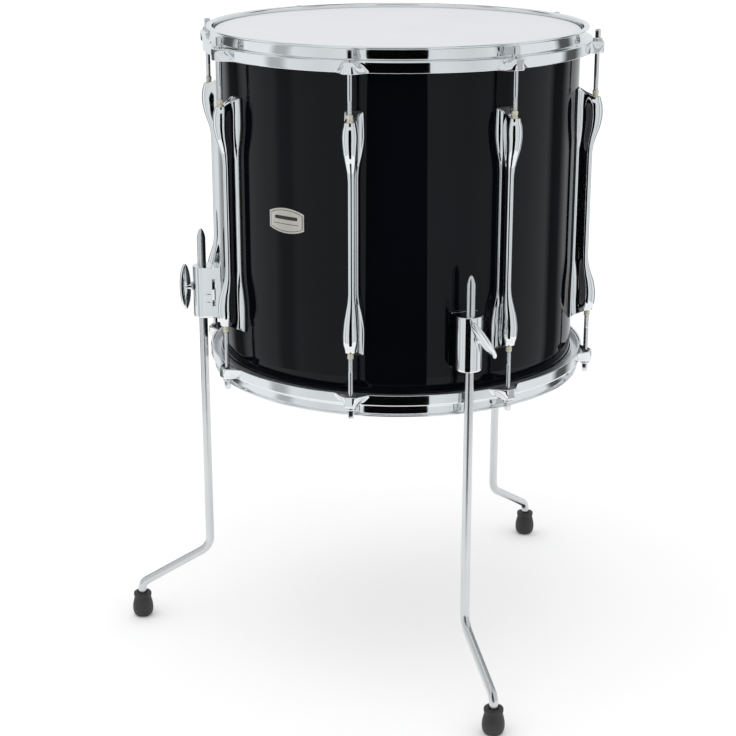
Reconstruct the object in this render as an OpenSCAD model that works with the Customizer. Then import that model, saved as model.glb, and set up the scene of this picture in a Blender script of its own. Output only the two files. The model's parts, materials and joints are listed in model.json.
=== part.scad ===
// Floor tom: a 16 x 15 inch drum on three height-adjustable legs.
// Frame: millimetres, +Z up, origin on the drum's axis at floor level.
// Angles run anticlockwise seen from above and start at -Y, the player's front.

/* [Shell] */
// Outer diameter of the shell
shell_od = 406.4; // [380:0.1:440]
// Depth of the shell between its two bearing edges
shell_depth = 381; // [370:1:400]
// Thickness of the shell wall
shell_wall = 7.5; // [6:0.5:9]
// Height of the shell's lower edge above the floor
shell_lift = 337; // [320:1:360]

/* [Hoops] */
// Total height of a hoop
hoop_h = 25.8; // [24:0.1:28]
// Height of the hoop's upright wall above its ledge
hoop_wall_h = 13.5; // [12:0.5:15]
// How far the rim stands above the bearing edge
rim_rise = 5; // [4:0.5:6]
// Sheet thickness of the hoop
hoop_t = 2.3; // [1.6:0.1:2.6]
// How far the turned rim stands out from the hoop's wall
rim_flare = 4.4; // [3:0.1:5]

/* [Tuning] */
// Number of lugs around the shell
lug_count = 8; // [6:1:8]
// Angle of the first lug
lug_start = -12.35; // [-22:0.05:0]
// Radius of the circle that the tension rods stand on
rod_circle_r = 222.7; // [221:0.1:225]
// Diameter of a tension rod
rod_d = 5.5; // [5:0.1:6]
// Length of a tension rod below its flange
rod_len = 75; // [70:1:80]
// Overall height of a lug
lug_h = 260; // [250:1:270]
// Widest width of a lug's swollen ends
lug_w = 17; // [15:0.5:18]
// Widest width of a lug's base
lug_base_w = 21.4; // [19:0.1:23]
// Width of a lug's base at its waist
lug_waist = 8.6; // [8:0.1:10]

/* [Legs] */
// Angle of the left leg
leg_left_angle = -88.3; // [-92:0.1:-84]
// Angle of the front leg
leg_front_angle = 20.1; // [14:0.1:24]
// Angle of the back leg
leg_back_angle = 145; // [140:0.1:150]
// Diameter of a leg
leg_d = 10; // [9:0.1:11]
// Distance of a leg's upright part from the drum's axis
leg_r = 225.8; // [225:0.1:227]
// Distance of a foot from the drum's axis
foot_r = 311; // [300:1:320]
// Height of a leg's tip above the floor
leg_top = 489; // [475:1:495]
// Height of the leg's upper bend
bend_top = 92; // [88:1:100]
// Height of the leg's lower bend
bend_low = 43; // [40:1:46]
// Diameter of a rubber foot
foot_d = 25; // [24:0.5:28]
// Height of a rubber foot
foot_h = 31; // [29:1:33]

/* [Brackets] */
// Width of a leg bracket
bracket_w = 29.5; // [28:0.5:31]
// Height of a leg bracket
bracket_h = 60; // [56:1:64]
// Height of a bracket's centre below the shell's middle
bracket_drop = 112; // [108:1:116]
// Height of the clamp's axis below the shell's middle
clamp_drop = 105.5; // [104:0.5:108]
// How far the clamp's bolt is turned from pointing straight out
clamp_turn = 20; // [0:1:24]
// Length of a wing nut from tip to tip
wing_l = 55; // [50:1:58]

/* [Badge] */
// Width of the badge
badge_w = 46; // [42:1:50]
// Height of the badge
badge_h = 27; // [24:1:30]

/* [Hidden] */

// Fine and medium counts of segments for round shapes
fine = 160;
mid = 48;
// Slack that keeps a cut clean through a face
eps = 0.5;

shell_r = shell_od / 2;
shell_mid = shell_lift + shell_depth / 2;
edge_z = shell_depth / 2;

// Hoop, film and flesh hoop, measured from the bearing edge at height 0
film_t = 0.4;
film_r = shell_r + 0.8;
wall_r = shell_r + 2.8;
skirt_r = 217;
ledge_z = rim_rise - hoop_wall_h;
skirt_z = rim_rise - hoop_h;
flesh_h = 8;
flesh_r = skirt_r - hoop_t - 0.5;
// Ears stand this much above the ledge and end this much above the skirt's lower edge
ear_step = 0.1;
ear_half = 18;
ear_tip = 7;
ear_r = rod_circle_r + 7.6;
ear_hole_r = 3.6;

// Tension rod: its flange rests on a washer that lies on the hoop's ear
washer_t = 1.3;
washer_r = 5.5;
seat_gap = 0.1;
flange_z = ledge_z + washer_t + seat_gap;
flange_t = 1.8;
flange_r = 5.2;
key_w = 6.3;
key_h = 9.5;
run_gap = 0.05;

// Lug: a swollen socket at each end of a long bar, on a thin base
gasket_t = 0.8;
socket_z = lug_h / 2 - 10;
insert_r = 3.7;
insert_len = 22;
insert_top = lug_h / 2 - 1.5;
screw_z = 84;
screw_r = 2.4;
lug_bar_w = 7;
lug_bar_r = rod_circle_r - 1;
base_t = 2;

// Leg clamp: the eye bolt's eye sits in a slot and holds the leg
bracket_round_r = bracket_w / 2;
bracket_axis_r = shell_r + 19.1;
slot_h = 9.6;
slot_r = 12.3;
eye_h = 9;
eye_r = 11.2;
eye_slack = 1.2;
bolt_r = 3;
// Distances out along the clamp's bolt, from the bracket's round axis
nut_start = bracket_round_r + 1.6;
bolt_end = nut_start + 9.5;
wing_depth = 13.5;
wing_t = 6;
hollow_in = shell_r + 6.3;
hollow_out = shell_r + 10.3;
hollow_h = 32;
bracket_screw_z = 21;
bracket_screw_r = 3;

vent_angle = 100.15;
vent_r = 6;

badge_angle = lug_start - 180 / lug_count;
badge_z = 8;

lug_angles = [for (i = [0:7]) lug_start + i * 360 / lug_count];
leg_angles = [leg_left_angle, leg_front_angle, leg_back_angle];
wing_tilts = [0, -37, 25];

// Turns a shape that is drawn facing -Y to an angle around the drum
module around(angle) {
    rotate([0, 0, angle]) children();
}

// Puts a shape, drawn at the batter end, at either end of the shell
module at_end(upper) {
    translate([0, 0, shell_mid])
        mirror([0, 0, upper ? 0 : 1])
            translate([0, 0, edge_z])
                children();
}

// A cylinder that points away from the drum's axis towards -Y, from radius r1 to r2
module outward(r, r1, r2, z = 0, seg = mid) {
    translate([0, -r1, z])
        rotate([90, 0, 0])
            cylinder(r = r, h = r2 - r1, $fn = seg);
}

// ---- shell ----

module shell() {
    half = shell_depth / 2;
    inner = shell_r - shell_wall;
    color("#15171b")
    difference() {
        translate([0, 0, shell_mid])
            rotate_extrude($fn = fine)
                polygon([
                    [inner, -half + 5], [shell_r - 2.5, -half], [shell_r - 1.5, -half],
                    [shell_r, -half + 1.5], [shell_r, half - 1.5], [shell_r - 1.5, half],
                    [shell_r - 2.5, half], [inner, half - 5]
                ]);
        for (a = lug_angles, s = [-1, 1])
            around(a) outward(screw_r + 0.3, inner - 5, shell_r + 5, shell_mid + s * screw_z);
        for (a = leg_angles, s = [-1, 1])
            around(a)
                outward(bracket_screw_r + 0.3, inner - 5, shell_r + 5,
                        shell_mid - bracket_drop + s * bracket_screw_z);
        around(vent_angle) outward(vent_r + 1.5, inner - 5, shell_r + 5, shell_mid);
    }
}

// ---- heads ----

module head_film(upper) {
    color(upper ? "#e4e5e8" : "#c9ced4")
    at_end(upper)
        rotate_extrude($fn = fine)
            polygon([
                [0, 0], [shell_r - 0.4, 0], [film_r - film_t, -0.8],
                [film_r - film_t, ledge_z - hoop_t - 4], [film_r, ledge_z - hoop_t - 4],
                [film_r, -0.4], [shell_r + 0.1, film_t], [0, film_t]
            ]);
}

module flesh_hoop(upper) {
    color("#b9bcc0")
    at_end(upper)
        translate([0, 0, ledge_z - hoop_t - flesh_h])
            difference() {
                cylinder(r = flesh_r, h = flesh_h, $fn = fine);
                translate([0, 0, -eps]) cylinder(r = film_r, h = flesh_h + 2 * eps, $fn = fine);
                translate([0, 0, -eps])
                    difference() {
                        cylinder(r = flesh_r - 1.4, h = flesh_h - 2 + eps, $fn = fine);
                        translate([0, 0, -eps])
                            cylinder(r = film_r + 1.4, h = flesh_h + 2 * eps, $fn = fine);
                    }
            }
}

// ---- hoops ----

// Plan of an ear, drawn towards -Y and let into the skirt; inset narrows it all round
module ear_plan(inset) {
    foot = ear_half - 2 * inset;
    tip = ear_tip - inset / 2;
    root_r = skirt_r - 1.15 + inset / 2;
    polygon([[-foot, -root_r], [-tip, -ear_r + inset], [tip, -ear_r + inset], [foot, -root_r]]);
}

module hoop_ring() {
    rotate_extrude($fn = fine)
        polygon([
            [wall_r, ledge_z - hoop_t], [skirt_r - hoop_t, ledge_z - hoop_t],
            [skirt_r - hoop_t, skirt_z], [skirt_r, skirt_z],
            [skirt_r, ledge_z - ear_step],
            [wall_r + hoop_t, ledge_z - ear_step], [wall_r + hoop_t, rim_rise - hoop_t - 0.6],
            [wall_r + hoop_t + 0.6, rim_rise - hoop_t],
            [wall_r + hoop_t + rim_flare - 0.5, rim_rise - hoop_t],
            [wall_r + hoop_t + rim_flare, rim_rise - hoop_t + 0.6],
            [wall_r + hoop_t + rim_flare, rim_rise - 0.8],
            [wall_r + hoop_t + rim_flare - 0.8, rim_rise],
            [wall_r + 1.4, rim_rise], [wall_r + 0.4, rim_rise - 0.5], [wall_r, rim_rise - 1.5]
        ]);
}

module hoop(upper) {
    ear_h = hoop_h - hoop_wall_h - ear_step;
    color("#c8cbce")
    at_end(upper) {
        hoop_ring();
        for (a = lug_angles)
            around(a)
                translate([0, 0, skirt_z + ear_step])
                    difference() {
                        linear_extrude(ear_h) ear_plan(0);
                        translate([0, 0, -eps]) linear_extrude(ear_h - hoop_t + eps) ear_plan(hoop_t);
                        translate([0, -rod_circle_r, 0])
                            cylinder(r = ear_hole_r, h = hoop_h, $fn = mid);
                    }
    }
}

// ---- tension rods ----

module rod_washers(upper) {
    color("#d0d2d4")
    for (a = lug_angles)
        at_end(upper)
            around(a)
                translate([0, -rod_circle_r, ledge_z])
                    difference() {
                        cylinder(r = washer_r, h = washer_t, $fn = mid);
                        translate([0, 0, -eps])
                            cylinder(r = rod_d / 2 + 0.4, h = washer_t + 2 * eps, $fn = mid);
                    }
}

module tension_rod(upper, i) {
    color("#c2c5c8")
    at_end(upper)
        around(lug_angles[i - 1])
            translate([0, -rod_circle_r, flange_z]) {
                translate([0, 0, -rod_len + 2]) cylinder(d = rod_d, h = rod_len - 2 + eps, $fn = mid);
                translate([0, 0, -rod_len]) cylinder(d1 = rod_d - 2.2, d2 = rod_d, h = 2, $fn = mid);
                cylinder(r = flange_r, h = flange_t, $fn = mid);
                translate([-key_w / 2, -key_w / 2, flange_t - eps])
                    cube([key_w, key_w, key_h + eps - 1]);
                translate([0, 0, flange_t + key_h - 1])
                    rotate([0, 0, 45])
                        cylinder(r1 = key_w / sqrt(2), r2 = key_w / sqrt(2) - 1.2, h = 1, $fn = 4);
            }
}

// ---- lugs ----

// Half width of a lug's base at a height above the lug's middle: a leaf at each end
function lug_half_width(z) =
    let (t = min(1, max(0, (abs(z) - 66) / 36)), past = max(0, abs(z) - 107))
    lug_waist / 2 + (lug_base_w - lug_waist) / 2 * (3 * t * t - 2 * t * t * t) - 0.07 * past;

module lug_base_outline() {
    steps = 26;
    z_end = lug_h / 2;
    polygon(concat(
        [for (i = [-steps:steps]) let (z = z_end * i / steps) [lug_half_width(z), z]],
        [for (i = [steps:-1:-steps]) let (z = z_end * i / steps) [-lug_half_width(z), z]]
    ));
}

// Half of a socket's section, to be turned about the rod's axis
module lug_socket_profile() {
    polygon([
        [0, socket_z - 54], [2.2, socket_z - 52], [3.4, socket_z - 46], [4.6, socket_z - 38],
        [6.2, socket_z - 29], [7.6, socket_z - 21], [8.4, socket_z - 14], [lug_w / 2 + 0.2, socket_z - 8],
        [8.1, socket_z - 3], [7.2, socket_z], [6, socket_z + 0.8], [0, socket_z + 0.8]
    ]);
}

module lug(i) {
    color("#cdd0d3")
    translate([0, 0, shell_mid])
        around(lug_angles[i - 1])
            difference() {
                union() {
                    translate([0, -shell_r - gasket_t - base_t, 0])
                        rotate([90, 0, 180])
                            linear_extrude(base_t + 3)
                                lug_base_outline();
                    translate([-lug_bar_w / 2, -lug_bar_r, -socket_z + 4])
                        cube([lug_bar_w, lug_bar_r - shell_r + 2, 2 * socket_z - 8]);
                    translate([0, -lug_bar_r, -socket_z + 40])
                        cylinder(r = lug_bar_w / 2, h = 2 * socket_z - 80, $fn = mid);
                    for (s = [0, 1])
                        mirror([0, 0, s])
                            translate([0, -rod_circle_r, 0])
                                rotate_extrude($fn = mid)
                                    lug_socket_profile();
                }
                translate([0, 0, -lug_h]) cylinder(r = shell_r + gasket_t, h = 2 * lug_h, $fn = fine);
                for (s = [0, 1])
                    mirror([0, 0, s]) {
                        translate([0, -rod_circle_r, insert_top - insert_len])
                            cylinder(r = insert_r, h = insert_len + eps, $fn = mid);
                        translate([0, -rod_circle_r, socket_z - 42])
                            cylinder(r = rod_d / 2 + 0.6, h = 60, $fn = mid);
                        outward(screw_r, shell_r - eps, rod_circle_r - 9, screw_z);
                    }
            }
}

module lug_gaskets() {
    color("#1c1c1c")
    for (a = lug_angles)
        translate([0, 0, shell_mid])
            around(a)
                difference() {
                    intersection() {
                        translate([0, -shell_r + 3, 0])
                            rotate([90, 0, 0])
                                linear_extrude(8)
                                    lug_base_outline();
                        translate([0, 0, -lug_h])
                            cylinder(r = shell_r + gasket_t, h = 2 * lug_h, $fn = fine);
                    }
                    translate([0, 0, -lug_h]) cylinder(r = shell_r, h = 2 * lug_h, $fn = fine);
                    for (s = [-1, 1])
                        outward(screw_r + 0.3, shell_r - 5, shell_r + 5, s * screw_z);
                }
}

module lug_inserts() {
    color("#c9c3a4")
    for (a = lug_angles, s = [0, 1])
        translate([0, 0, shell_mid])
            mirror([0, 0, s])
                around(a)
                    translate([0, -rod_circle_r, insert_top - insert_len])
                        difference() {
                            cylinder(r = insert_r, h = insert_len, $fn = mid);
                            translate([0, 0, -eps])
                                cylinder(r = rod_d / 2 + run_gap, h = insert_len + 2 * eps, $fn = mid);
                        }
}

// A round-headed screw that holds a fitting from inside the shell
module inside_screw(r, head_r, depth, z, washer) {
    inner = shell_r - shell_wall;
    start = inner - washer - 0.2;
    outward(r, start - eps, inner + depth, z);
    difference() {
        outward(head_r, start - head_r * 0.7, start, z);
        outward(r * 0.75, start - head_r * 0.7 - eps, start - head_r * 0.35, z, 6);
    }
}

// A flat washer that bears on the round inside of the shell with its rim
module inside_washer(r, outer_r, t, z) {
    seat = sqrt(pow(shell_r - shell_wall, 2) - outer_r * outer_r) - 0.02;
    difference() {
        outward(outer_r, seat - t, seat, z);
        outward(r, seat - t - eps, seat + eps, z);
    }
}

module lug_screws() {
    color("#b5b7ba")
    for (a = lug_angles, s = [-1, 1])
        translate([0, 0, shell_mid])
            around(a) inside_screw(screw_r, 4.6, shell_wall + 8, s * screw_z, 1.5);
}

module lug_screw_washers() {
    color("#9a9da0")
    for (a = lug_angles, s = [-1, 1])
        translate([0, 0, shell_mid])
            around(a) inside_washer(screw_r + 0.2, 7, 1.5, s * screw_z);
}

// ---- leg brackets ----

// Plan of a bracket: square against the shell and round outside, drawn towards -Y
module bracket_plan(w, back_r) {
    translate([0, -bracket_axis_r]) circle(r = w / 2, $fn = fine);
    translate([-w / 2, -bracket_axis_r]) square([w, bracket_axis_r - back_r]);
}

// Puts a shape on the clamp's bolt: origin on the bracket's round axis, bolt along -Y
module clamp_place() {
    translate([0, -bracket_axis_r, shell_mid - clamp_drop])
        rotate([0, 0, clamp_turn])
            children();
}

module leg_bracket(k) {
    color("#cfd1d4")
    around(leg_angles[k])
        difference() {
            union() {
                translate([0, 0, shell_mid - bracket_drop - bracket_h / 2 + 1])
                    linear_extrude(bracket_h - 2)
                        bracket_plan(bracket_w, shell_r - 2);
                translate([0, 0, shell_mid - bracket_drop - bracket_h / 2])
                    linear_extrude(bracket_h)
                        bracket_plan(bracket_w - 2, shell_r - 2);
                clamp_place() outward(5.2, slot_r, bracket_round_r + 0.4);
            }
            cylinder(r = shell_r + gasket_t, h = 2 * shell_mid, $fn = fine);
            translate([0, -leg_r, 0])
                cylinder(r = leg_d / 2 + run_gap, h = 2 * shell_mid, $fn = mid);
            // round chamber for the eye bolt, and the bolt's way out
            clamp_place() {
                translate([0, 0, -slot_h / 2]) cylinder(r = slot_r, h = slot_h, $fn = mid);
                outward(bolt_r + 0.4, slot_r / 2, bracket_round_r + 5);
            }
            // gap between the base against the shell and the block
            translate([-bracket_w, -hollow_out, shell_mid - bracket_drop - hollow_h / 2])
                cube([2 * bracket_w, hollow_out - hollow_in, hollow_h]);
            // two fine grooves across each side
            for (s = [-1, 1], z = [8, 17.2])
                translate([s * bracket_w / 2 - 0.5, -bracket_axis_r, shell_mid - clamp_drop - z])
                    cube([1, bracket_axis_r - hollow_out, 0.8]);
            for (s = [-1, 1])
                outward(bracket_screw_r, shell_r - 2, shell_r + 11,
                        shell_mid - bracket_drop + s * bracket_screw_z);
        }
}

module bracket_gaskets() {
    color("#1c1c1c")
    for (a = leg_angles, s = [-1, 1])
        around(a)
            difference() {
                intersection() {
                    translate([-bracket_w / 2, -shell_r - 5,
                               shell_mid - bracket_drop + s * (bracket_h / 2 - 8) - 8])
                        cube([bracket_w, 12, 16]);
                    cylinder(r = shell_r + gasket_t, h = 2 * shell_mid, $fn = fine);
                }
                cylinder(r = shell_r, h = 2 * shell_mid, $fn = fine);
                outward(bracket_screw_r + 0.3, shell_r - 5, shell_r + 5,
                        shell_mid - bracket_drop + s * bracket_screw_z);
            }
}

module bracket_screws() {
    color("#b5b7ba")
    for (a = leg_angles, s = [-1, 1])
        translate([0, 0, shell_mid - bracket_drop])
            around(a) inside_screw(bracket_screw_r, 5.5, shell_wall + 9, s * bracket_screw_z, 1.6);
}

module bracket_screw_washers() {
    color("#9a9da0")
    for (a = leg_angles, s = [-1, 1])
        translate([0, 0, shell_mid - bracket_drop])
            around(a) inside_washer(bracket_screw_r + 0.2, 8.5, 1.6, s * bracket_screw_z);
}

// A round-ended slot for the leg, long enough to let the eye bolt slide
module eye_hole() {
    r = leg_d / 2 + run_gap;
    translate([0, bracket_axis_r - leg_r])
        rotate([0, 0, clamp_turn]) {
            circle(r = r, $fn = mid);
            translate([0, -eye_slack]) circle(r = r, $fn = mid);
            translate([-r, -eye_slack]) square([2 * r, eye_slack]);
        }
}

module eye_bolt(k) {
    color("#b9bcbf")
    around(leg_angles[k])
        clamp_place() {
            translate([0, 0, -eye_h / 2])
                linear_extrude(eye_h)
                    difference() {
                        circle(r = eye_r, $fn = mid);
                        rotate([0, 0, -clamp_turn]) eye_hole();
                    }
            outward(bolt_r, eye_r - 0.8, bolt_end - 1);
            translate([0, -bolt_end + 1, 0])
                rotate([90, 0, 0])
                    cylinder(r1 = bolt_r, r2 = bolt_r - 1, h = 1, $fn = mid);
        }
}

module wing_washers() {
    color("#d0d2d4")
    for (a = leg_angles)
        around(a)
            clamp_place()
                difference() {
                    outward(5.2, bracket_round_r + 0.4, nut_start - seat_gap);
                    outward(bolt_r + 0.4, bracket_round_r, nut_start + eps);
                }
}

module wing_nut(k) {
    color("#cfd1d4")
    around(leg_angles[k])
        clamp_place()
            translate([0, -nut_start, 0])
                rotate([0, wing_tilts[k], 0])
                    difference() {
                        union() {
                            rotate([90, 0, 0]) cylinder(r1 = 4.3, r2 = 5.4, h = 5, $fn = mid);
                            translate([0, -5, 0])
                                rotate([90, 0, 0]) cylinder(r1 = 5.4, r2 = 4.2, h = 6, $fn = mid);
                            // flat oval wing, seen side-on as an ellipse
                            translate([-wing_t / 2, -1 - wing_depth / 2, 0])
                                rotate([90, 0, 90])
                                    linear_extrude(wing_t)
                                        scale([wing_depth / 2, wing_l / 2]) circle(r = 1, $fn = mid);
                        }
                        outward(bolt_r + run_gap, -eps, 10.5);
                    }
}

// ---- legs ----

bend_r1 = 22;
bend_r2 = 14;
leg_slope = atan2(bend_top - bend_low, foot_r - leg_r);
leg_turn = 90 - leg_slope;
// The straight pieces reach this far over the bends, which are a hair thinner
lap = 0.2;
bend_d = leg_d - 0.04;

// A curved piece of the leg, in the upright plane x = outwards, y = up
module leg_arc(radius, centre, from, sweep) {
    translate([centre[0], 0, centre[1]])
        rotate([90, 0, 0])
            rotate([0, 0, from])
                rotate_extrude(angle = sweep, $fn = fine)
                    translate([radius, 0]) circle(d = bend_d, $fn = mid);
}

module leg(k) {
    t1 = bend_r1 * tan(leg_turn / 2);
    t2 = bend_r2 * tan(leg_turn / 2);
    run = norm([foot_r - leg_r, bend_top - bend_low]) - t1 - t2;
    color("#cfd1d4")
    around(leg_angles[k])
        rotate([0, 0, -90]) {
            translate([leg_r, 0, bend_top + t1 - lap])
                cylinder(d = leg_d, h = leg_top - 10 - bend_top - t1 + lap, $fn = mid);
            translate([leg_r, 0, leg_top - 10])
                rotate_extrude($fn = mid)
                    polygon([
                        [0, -eps], [leg_d / 2, -eps], [leg_d / 2, 0], [leg_d / 2 - 0.9, 3.5],
                        [leg_d / 2 - 2, 6.8], [leg_d / 2 - 3.2, 9.2], [leg_d / 2 - 4.3, 10], [0, 10]
                    ]);
            leg_arc(bend_r1, [leg_r + bend_r1, bend_top + t1], 180, leg_turn);
            translate([leg_r + t1 * cos(leg_slope), 0, bend_top - t1 * sin(leg_slope)])
                rotate([0, 90 + leg_slope, 0])
                    translate([0, 0, -lap])
                        cylinder(d = leg_d, h = run + 2 * lap, $fn = mid);
            leg_arc(bend_r2, [foot_r - bend_r2, bend_low - t2], 0, leg_turn);
            translate([foot_r, 0, 6]) cylinder(d = leg_d, h = bend_low - t2 - 6 + lap, $fn = mid);
        }
}

module foot(k) {
    r = foot_d / 2;
    color("#1b1c1e")
    around(leg_angles[k])
        translate([0, -foot_r, 0])
            difference() {
                rotate_extrude($fn = fine)
                    polygon([
                        [0, 0], [r - 5.5, 0], [r - 3.2, 1], [r - 1.5, 3], [r - 0.4, 6.5], [r, 11],
                        [r - 0.6, 16], [r - 2.2, 23], [r - 2.8, foot_h - 5], [r - 1.9, foot_h - 4.2],
                        [r - 1.9, foot_h - 1], [r - 2.8, foot_h], [0, foot_h]
                    ]);
                translate([0, 0, 6]) cylinder(d = leg_d, h = foot_h, $fn = mid);
            }
}

// ---- trim ----

// Barrel-shaped plate with hollowed corners
module badge_outline(w, h) {
    notch = 4.5;
    difference() {
        intersection() {
            square([w, h + 8], center = true);
            translate([0, -60 + h / 2]) circle(r = 60, $fn = fine);
            translate([0, 60 - h / 2]) circle(r = 60, $fn = fine);
        }
        for (sx = [-1, 1], sz = [-1, 1])
            translate([sx * w / 2, sz * h / 2]) circle(r = notch, $fn = mid);
    }
}

module badge_layer(w, h, r) {
    intersection() {
        translate([0, -shell_r + 10, 0])
            rotate([90, 0, 0]) linear_extrude(30) badge_outline(w, h);
        difference() {
            translate([0, 0, -30]) cylinder(r = r, h = 60, $fn = fine);
            translate([0, 0, -31]) cylinder(r = shell_r, h = 62, $fn = fine);
        }
    }
}

module badge() {
    color("#c5c0b4")
    translate([0, 0, shell_mid + badge_z])
        around(badge_angle) {
            badge_layer(badge_w, badge_h, shell_r + 0.9);
            badge_layer(badge_w - 4, badge_h - 4, shell_r + 1.4);
        }
}

module vent_grommet() {
    inner = shell_r - shell_wall;
    color("#c2c5c8")
    translate([0, 0, shell_mid])
        around(vent_angle)
            difference() {
                union() {
                    outward(vent_r + 1.4, inner - 1.4, shell_r + 1.2);
                    difference() {
                        outward(vent_r + 4, shell_r - 2, shell_r + 1.4);
                        translate([0, 0, -20]) cylinder(r = shell_r, h = 40, $fn = fine);
                    }
                    intersection() {
                        outward(vent_r + 3, inner - 1.4, inner + 2);
                        translate([0, 0, -20]) cylinder(r = inner, h = 40, $fn = fine);
                    }
                }
                outward(vent_r, inner - 5, shell_r + 5);
            }
}

shell();
head_film(true);  // batter_head_film
flesh_hoop(true);  // batter_flesh_hoop
hoop(true);  // batter_hoop
rod_washers(true);  // batter_rod_washers
head_film(false);  // resonant_head_film
flesh_hoop(false);  // resonant_flesh_hoop
hoop(false);  // resonant_hoop
rod_washers(false);  // resonant_rod_washers
for (i = [1:8]) {
    lug(i);
    tension_rod(true, i);
    tension_rod(false, i);
}
lug_gaskets();
lug_inserts();
lug_screws();
lug_screw_washers();
leg_bracket(0);  // leg_bracket_left
leg_bracket(1);  // leg_bracket_front
leg_bracket(2);  // leg_bracket_back
bracket_gaskets();
bracket_screws();
bracket_screw_washers();
eye_bolt(0);  // eye_bolt_left
eye_bolt(1);  // eye_bolt_front
eye_bolt(2);  // eye_bolt_back
wing_washers();
wing_nut(0);  // wing_nut_left
wing_nut(1);  // wing_nut_front
wing_nut(2);  // wing_nut_back
leg(0);  // leg_left
leg(1);  // leg_front
leg(2);  // leg_back
foot(0);  // foot_left
foot(1);  // foot_front
foot(2);  // foot_back
badge();
vent_grommet();
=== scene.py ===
"""Looks of the floor tom: detailed chrome, lacquer, film and rubber around the fixed CAD frame."""

import json
import math

import bpy
import bmesh
from mathutils import Matrix, Vector


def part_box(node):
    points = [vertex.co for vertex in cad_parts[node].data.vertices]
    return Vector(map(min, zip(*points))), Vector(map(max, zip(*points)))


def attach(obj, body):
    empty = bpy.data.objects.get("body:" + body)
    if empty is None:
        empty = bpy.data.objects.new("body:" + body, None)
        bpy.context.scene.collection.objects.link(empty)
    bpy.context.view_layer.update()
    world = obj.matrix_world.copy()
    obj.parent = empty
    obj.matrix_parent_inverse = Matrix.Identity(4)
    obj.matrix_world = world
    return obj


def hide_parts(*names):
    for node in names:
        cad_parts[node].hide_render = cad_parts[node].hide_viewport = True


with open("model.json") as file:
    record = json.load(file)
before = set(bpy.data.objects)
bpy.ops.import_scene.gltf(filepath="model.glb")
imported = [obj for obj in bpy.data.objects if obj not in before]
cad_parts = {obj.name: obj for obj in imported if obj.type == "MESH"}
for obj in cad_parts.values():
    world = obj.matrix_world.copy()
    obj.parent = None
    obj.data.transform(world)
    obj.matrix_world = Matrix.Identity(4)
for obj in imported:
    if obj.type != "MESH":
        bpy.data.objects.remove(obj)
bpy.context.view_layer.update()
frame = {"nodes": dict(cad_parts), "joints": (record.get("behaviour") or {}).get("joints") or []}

MM = 0.001
TAU = 2 * math.pi

# ---------------------------------------------------------------- places from the frame

SHELL_LOW, SHELL_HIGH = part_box("shell")
SHELL_R = SHELL_HIGH.x
SHELL_MID = (SHELL_LOW.z + SHELL_HIGH.z) / 2
SHELL_HALF = (SHELL_HIGH.z - SHELL_LOW.z) / 2
SHELL_WALL = 7.5 * MM
JOINTS = {j["name"]: j for j in frame["joints"]}
RODS = [Vector(JOINTS[f"batter_rod_{i}_turn"]["pos_m"]) for i in range(1, 9)]
ROD_R = math.hypot(RODS[0].x, RODS[0].y)
LUG_ANGLES = [math.atan2(p.x, -p.y) for p in RODS]
LEG_NAMES = ("left", "front", "back")
LEG_OUT = 225.8  # upright part of a leg, out from the drum's axis, mm


def middle_of(node):
    low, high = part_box(node)
    return (low + high) / 2


def angle_of(node):
    """Angle around the drum of a node's middle: 0 at -Y, anticlockwise seen from above."""
    middle = middle_of(node)
    return math.atan2(middle.x, -middle.y)


def around(angle, across, out, up):
    """A point that is out from the drum's axis, shifted across, at an angle around the drum."""
    return Vector((
        out * math.sin(angle) + across * math.cos(angle),
        -out * math.cos(angle) + across * math.sin(angle),
        up,
    ))


# ---------------------------------------------------------------- mesh helpers


def finish_mesh(name, mesh, sharp=35):
    """Smooth shading with sharp edges above an angle in degrees, and an object to hold the mesh."""
    mesh.validate()
    mesh.shade_smooth()
    mesh.set_sharp_from_angle(angle=math.radians(sharp))
    return add_object(name, mesh)


def add_object(name, data):
    piece = bpy.data.objects.new(name, data)
    bpy.context.scene.collection.objects.link(piece)
    return piece


def grid_mesh(name, rings, closed=True, caps=(False, False), sharp=35):
    """A skin over rings of equal length; each ring is a closed loop, and closed joins last to first."""
    count = len(rings[0])
    verts = [tuple(p) for ring in rings for p in ring]
    faces = []
    last = len(rings) if closed else len(rings) - 1
    for i in range(last):
        a, b = i * count, ((i + 1) % len(rings)) * count
        for j in range(count):
            k = (j + 1) % count
            faces.append((a + j, a + k, b + k, b + j))
    if caps[0]:
        faces.append(tuple(range(count - 1, -1, -1)))
    if caps[1]:
        start = (len(rings) - 1) * count
        faces.append(tuple(range(start, start + count)))
    mesh = bpy.data.meshes.new(name)
    mesh.from_pydata(verts, [], faces)
    mesh.update()
    fix_normals(mesh)
    return finish_mesh(name, mesh, sharp)


def fix_normals(mesh):
    """Merges doubled corners and turns every face outwards."""
    bm = bmesh.new()
    bm.from_mesh(mesh)
    bmesh.ops.remove_doubles(bm, verts=bm.verts, dist=1e-7)
    bmesh.ops.recalc_face_normals(bm, faces=bm.faces)
    bm.to_mesh(mesh)
    bm.free()


def lathe(name, section, segments=256, sharp=35, at=(0.0, 0.0)):
    """A closed section of (radius, height) points turned about an upright axis."""
    rings = [
        [(at[0] + r * math.cos(t), at[1] + r * math.sin(t), z) for r, z in section]
        for t in turn_steps(segments)
    ]
    return grid_mesh(name, rings, True, sharp=sharp)


def turn_steps(count):
    """Angles of a whole turn in equal steps."""
    return [TAU * k / count for k in range(count)]


def arc(cx, cy, r, start, end, steps=6):
    """Points on an arc, angles in degrees."""
    return [
        (cx + r * math.cos(math.radians(start + (end - start) * i / steps)),
         cy + r * math.sin(math.radians(start + (end - start) * i / steps)))
        for i in range(steps + 1)
    ]


def smooth(t):
    """Eases from 0 to 1, and stays there outside that range."""
    t = min(1.0, max(0.0, t))
    return t * t * (3 - 2 * t)


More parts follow.
